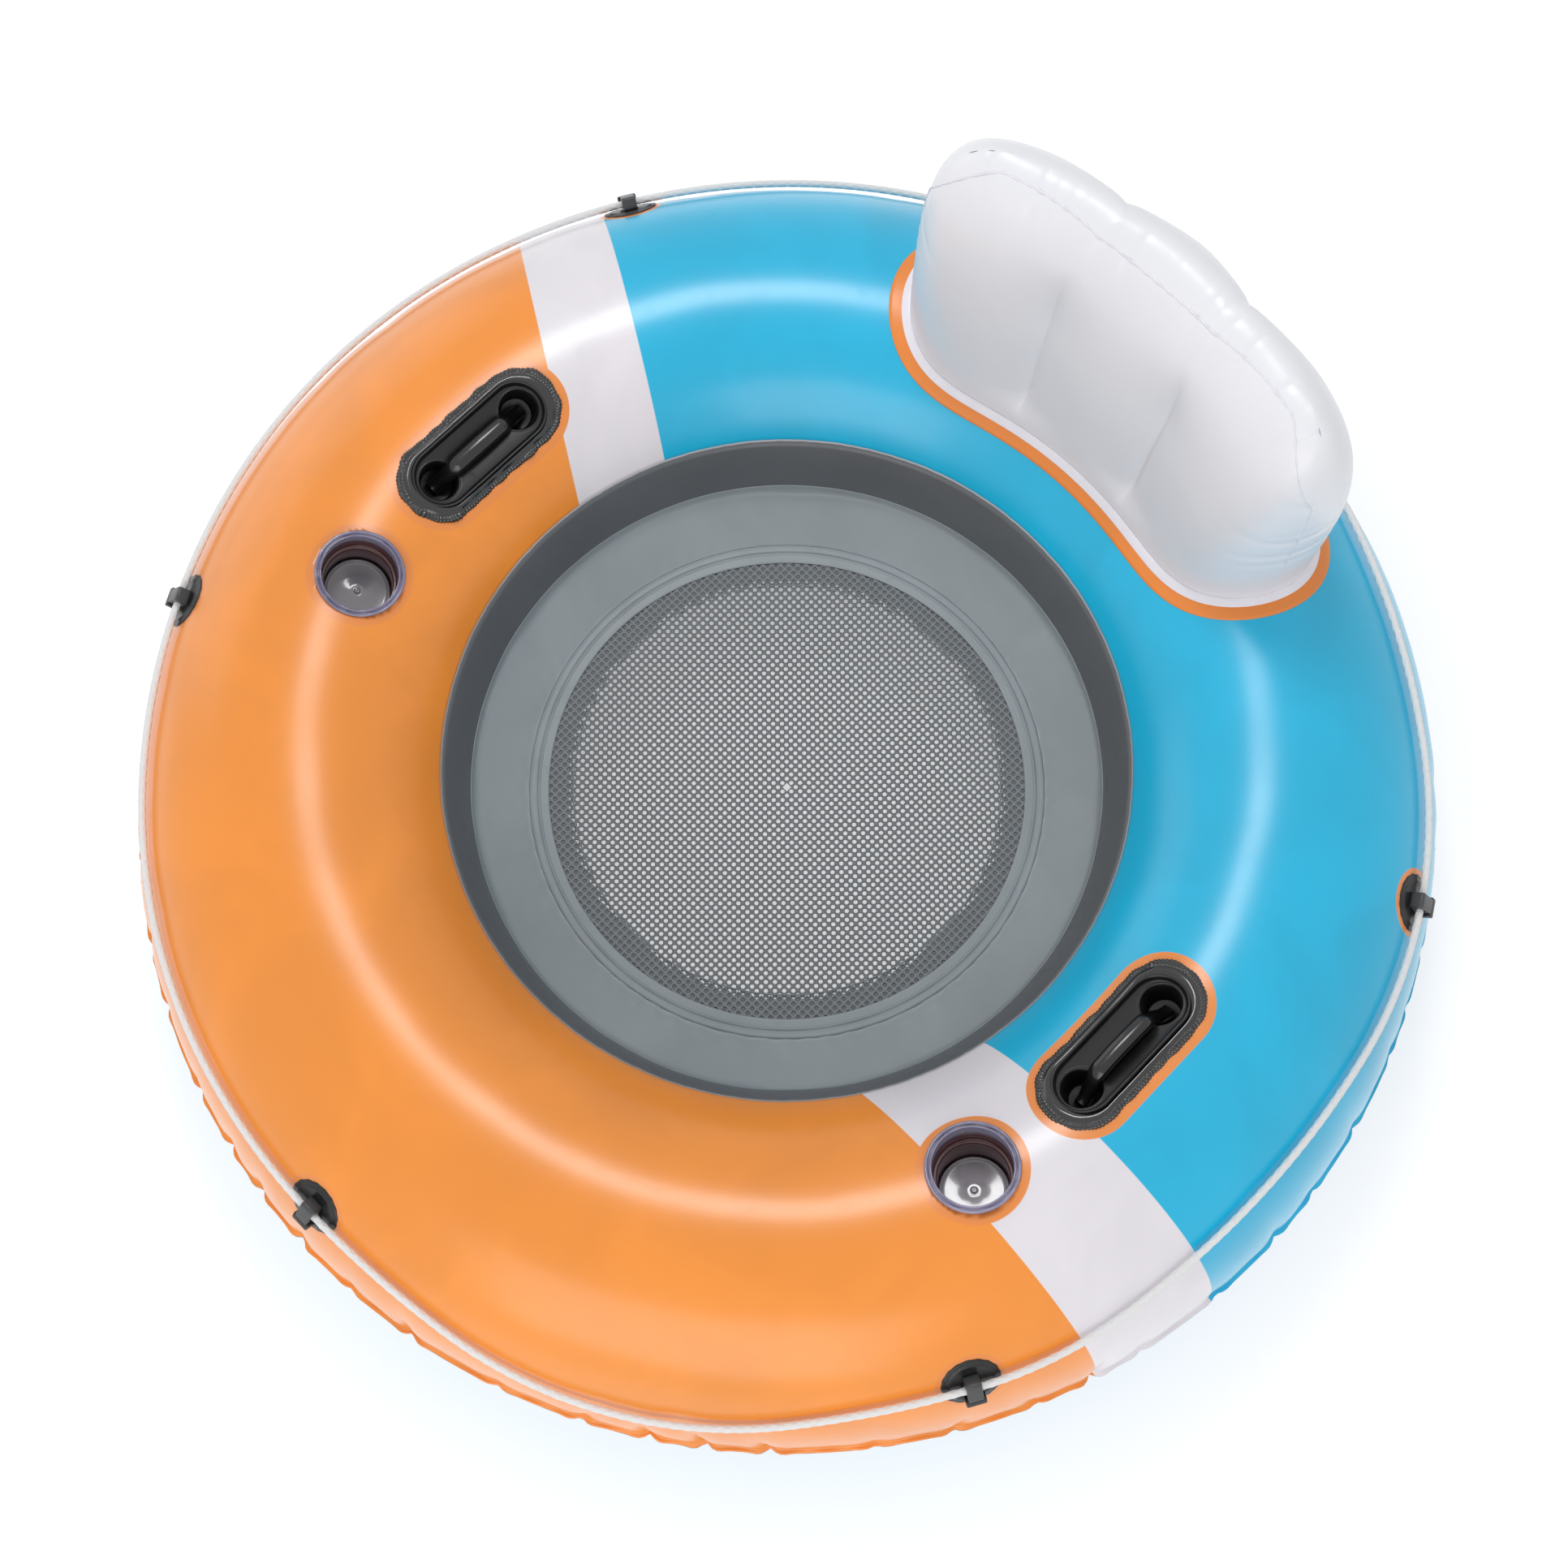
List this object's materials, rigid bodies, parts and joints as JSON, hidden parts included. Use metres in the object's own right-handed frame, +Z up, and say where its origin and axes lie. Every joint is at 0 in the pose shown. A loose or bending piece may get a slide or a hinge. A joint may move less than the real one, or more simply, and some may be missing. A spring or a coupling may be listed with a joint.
{
  "type": "river tube",
  "caption": "Round inflatable river tube with a pillow backrest, mesh seat, cup holders, grip handles and a grab rope on lugs.",
  "frame": {"origin": "centre of the tube at the level it rests on", "axes": "+Z up, +Y from the centre towards the backrest, +X towards the handle on the blue side"},
  "size_m": [1.36, 1.36, 0.612],
  "materials": {
    "printed_vinyl": "printed and glossy",
    "bottom_vinyl": "glossy",
    "wall_vinyl": "satin",
    "floor_vinyl": "satin",
    "mesh_fabric": "knitted mesh",
    "pillow_vinyl": "satin",
    "border_vinyl": "glossy",
    "black_vinyl": "glossy",
    "clear_vinyl": "clear",
    "valve_vinyl": "soft and clear",
    "white_rope": "braided"
  },
  "bodies": {
    "tube": {"backrest_base_flange": "border_vinyl", "backrest_front_panel": "pillow_vinyl", "backrest_rear_panel": "pillow_vinyl", "backrest_valve_flange": "valve_vinyl", "backrest_web_left": "pillow_vinyl", "backrest_web_right": "pillow_vinyl", "bottom_panel": "bottom_vinyl", "cup_base_left": "clear_vinyl", "cup_base_right": "clear_vinyl", "cup_collar_left": "clear_vinyl", "cup_collar_right": "clear_vinyl", "cup_wall_left": "clear_vinyl", "cup_wall_right": "clear_vinyl", "floor_panel": "floor_vinyl", "floor_weld_ring": "floor_vinyl", "grab_rope": "white_rope", "handle_grip_left": "black_vinyl", "handle_grip_right": "black_vinyl", "handle_patch_left": "black_vinyl", "handle_patch_right": "black_vinyl", "handle_tray_left": "black_vinyl", "handle_tray_right": "black_vinyl", "inner_wall_panel": "wall_vinyl", "mesh_hem": "mesh_fabric", "rope_lugs": "black_vinyl", "rope_sleeve": "valve_vinyl", "seat_mesh": "mesh_fabric", "top_panel": "printed_vinyl", "tube_valve_flange": "valve_vinyl"},
    "tube_valve_stem": {"tube_valve_stem": "valve_vinyl"},
    "tube_valve_stopper": {"tube_valve_stopper": "valve_vinyl", "tube_valve_strap": "valve_vinyl"},
    "tube_valve_flap": {"tube_valve_flap": "valve_vinyl"},
    "backrest_valve_stem": {"backrest_valve_stem": "valve_vinyl"},
    "backrest_valve_stopper": {"backrest_valve_stopper": "valve_vinyl", "backrest_valve_strap": "valve_vinyl"},
    "backrest_valve_flap": {"backrest_valve_flap": "valve_vinyl"}
  },
  "joints": [
    {"name": "tube_valve_stem_slide", "type": "slide", "parent": "tube", "child": "tube_valve_stem", "axis": [0, 0.9511, 0.309], "range_m": [0, 0.012]},
    {"name": "tube_valve_stopper_slide", "type": "slide", "parent": "tube_valve_stem", "child": "tube_valve_stopper", "axis": [0, 0.9511, 0.309], "range_m": [0, 0.008]},
    {"name": "tube_valve_flap_swing", "type": "hinge", "parent": "tube_valve_stem", "child": "tube_valve_flap", "pos_m": [0, 0.64115, 0.22478], "axis": [-1, 0, 0], "range_deg": [0, 40], "stiffness_Nm_per_rad": 0.00004},
    {"name": "backrest_valve_stem_slide", "type": "slide", "parent": "tube", "child": "backrest_valve_stem", "axis": [0, 0.9969, 0.0788], "range_m": [0, 0.012]},
    {"name": "backrest_valve_stopper_slide", "type": "slide", "parent": "backrest_valve_stem", "child": "backrest_valve_stopper", "axis": [0, 0.9969, 0.0788], "range_m": [0, 0.008]},
    {"name": "backrest_valve_flap_swing", "type": "hinge", "parent": "backrest_valve_stem", "child": "backrest_valve_flap", "pos_m": [0, 0.54432, 0.47548], "axis": [-1, 0, 0], "range_deg": [0, 40], "stiffness_Nm_per_rad": 0.00004}
  ]
}
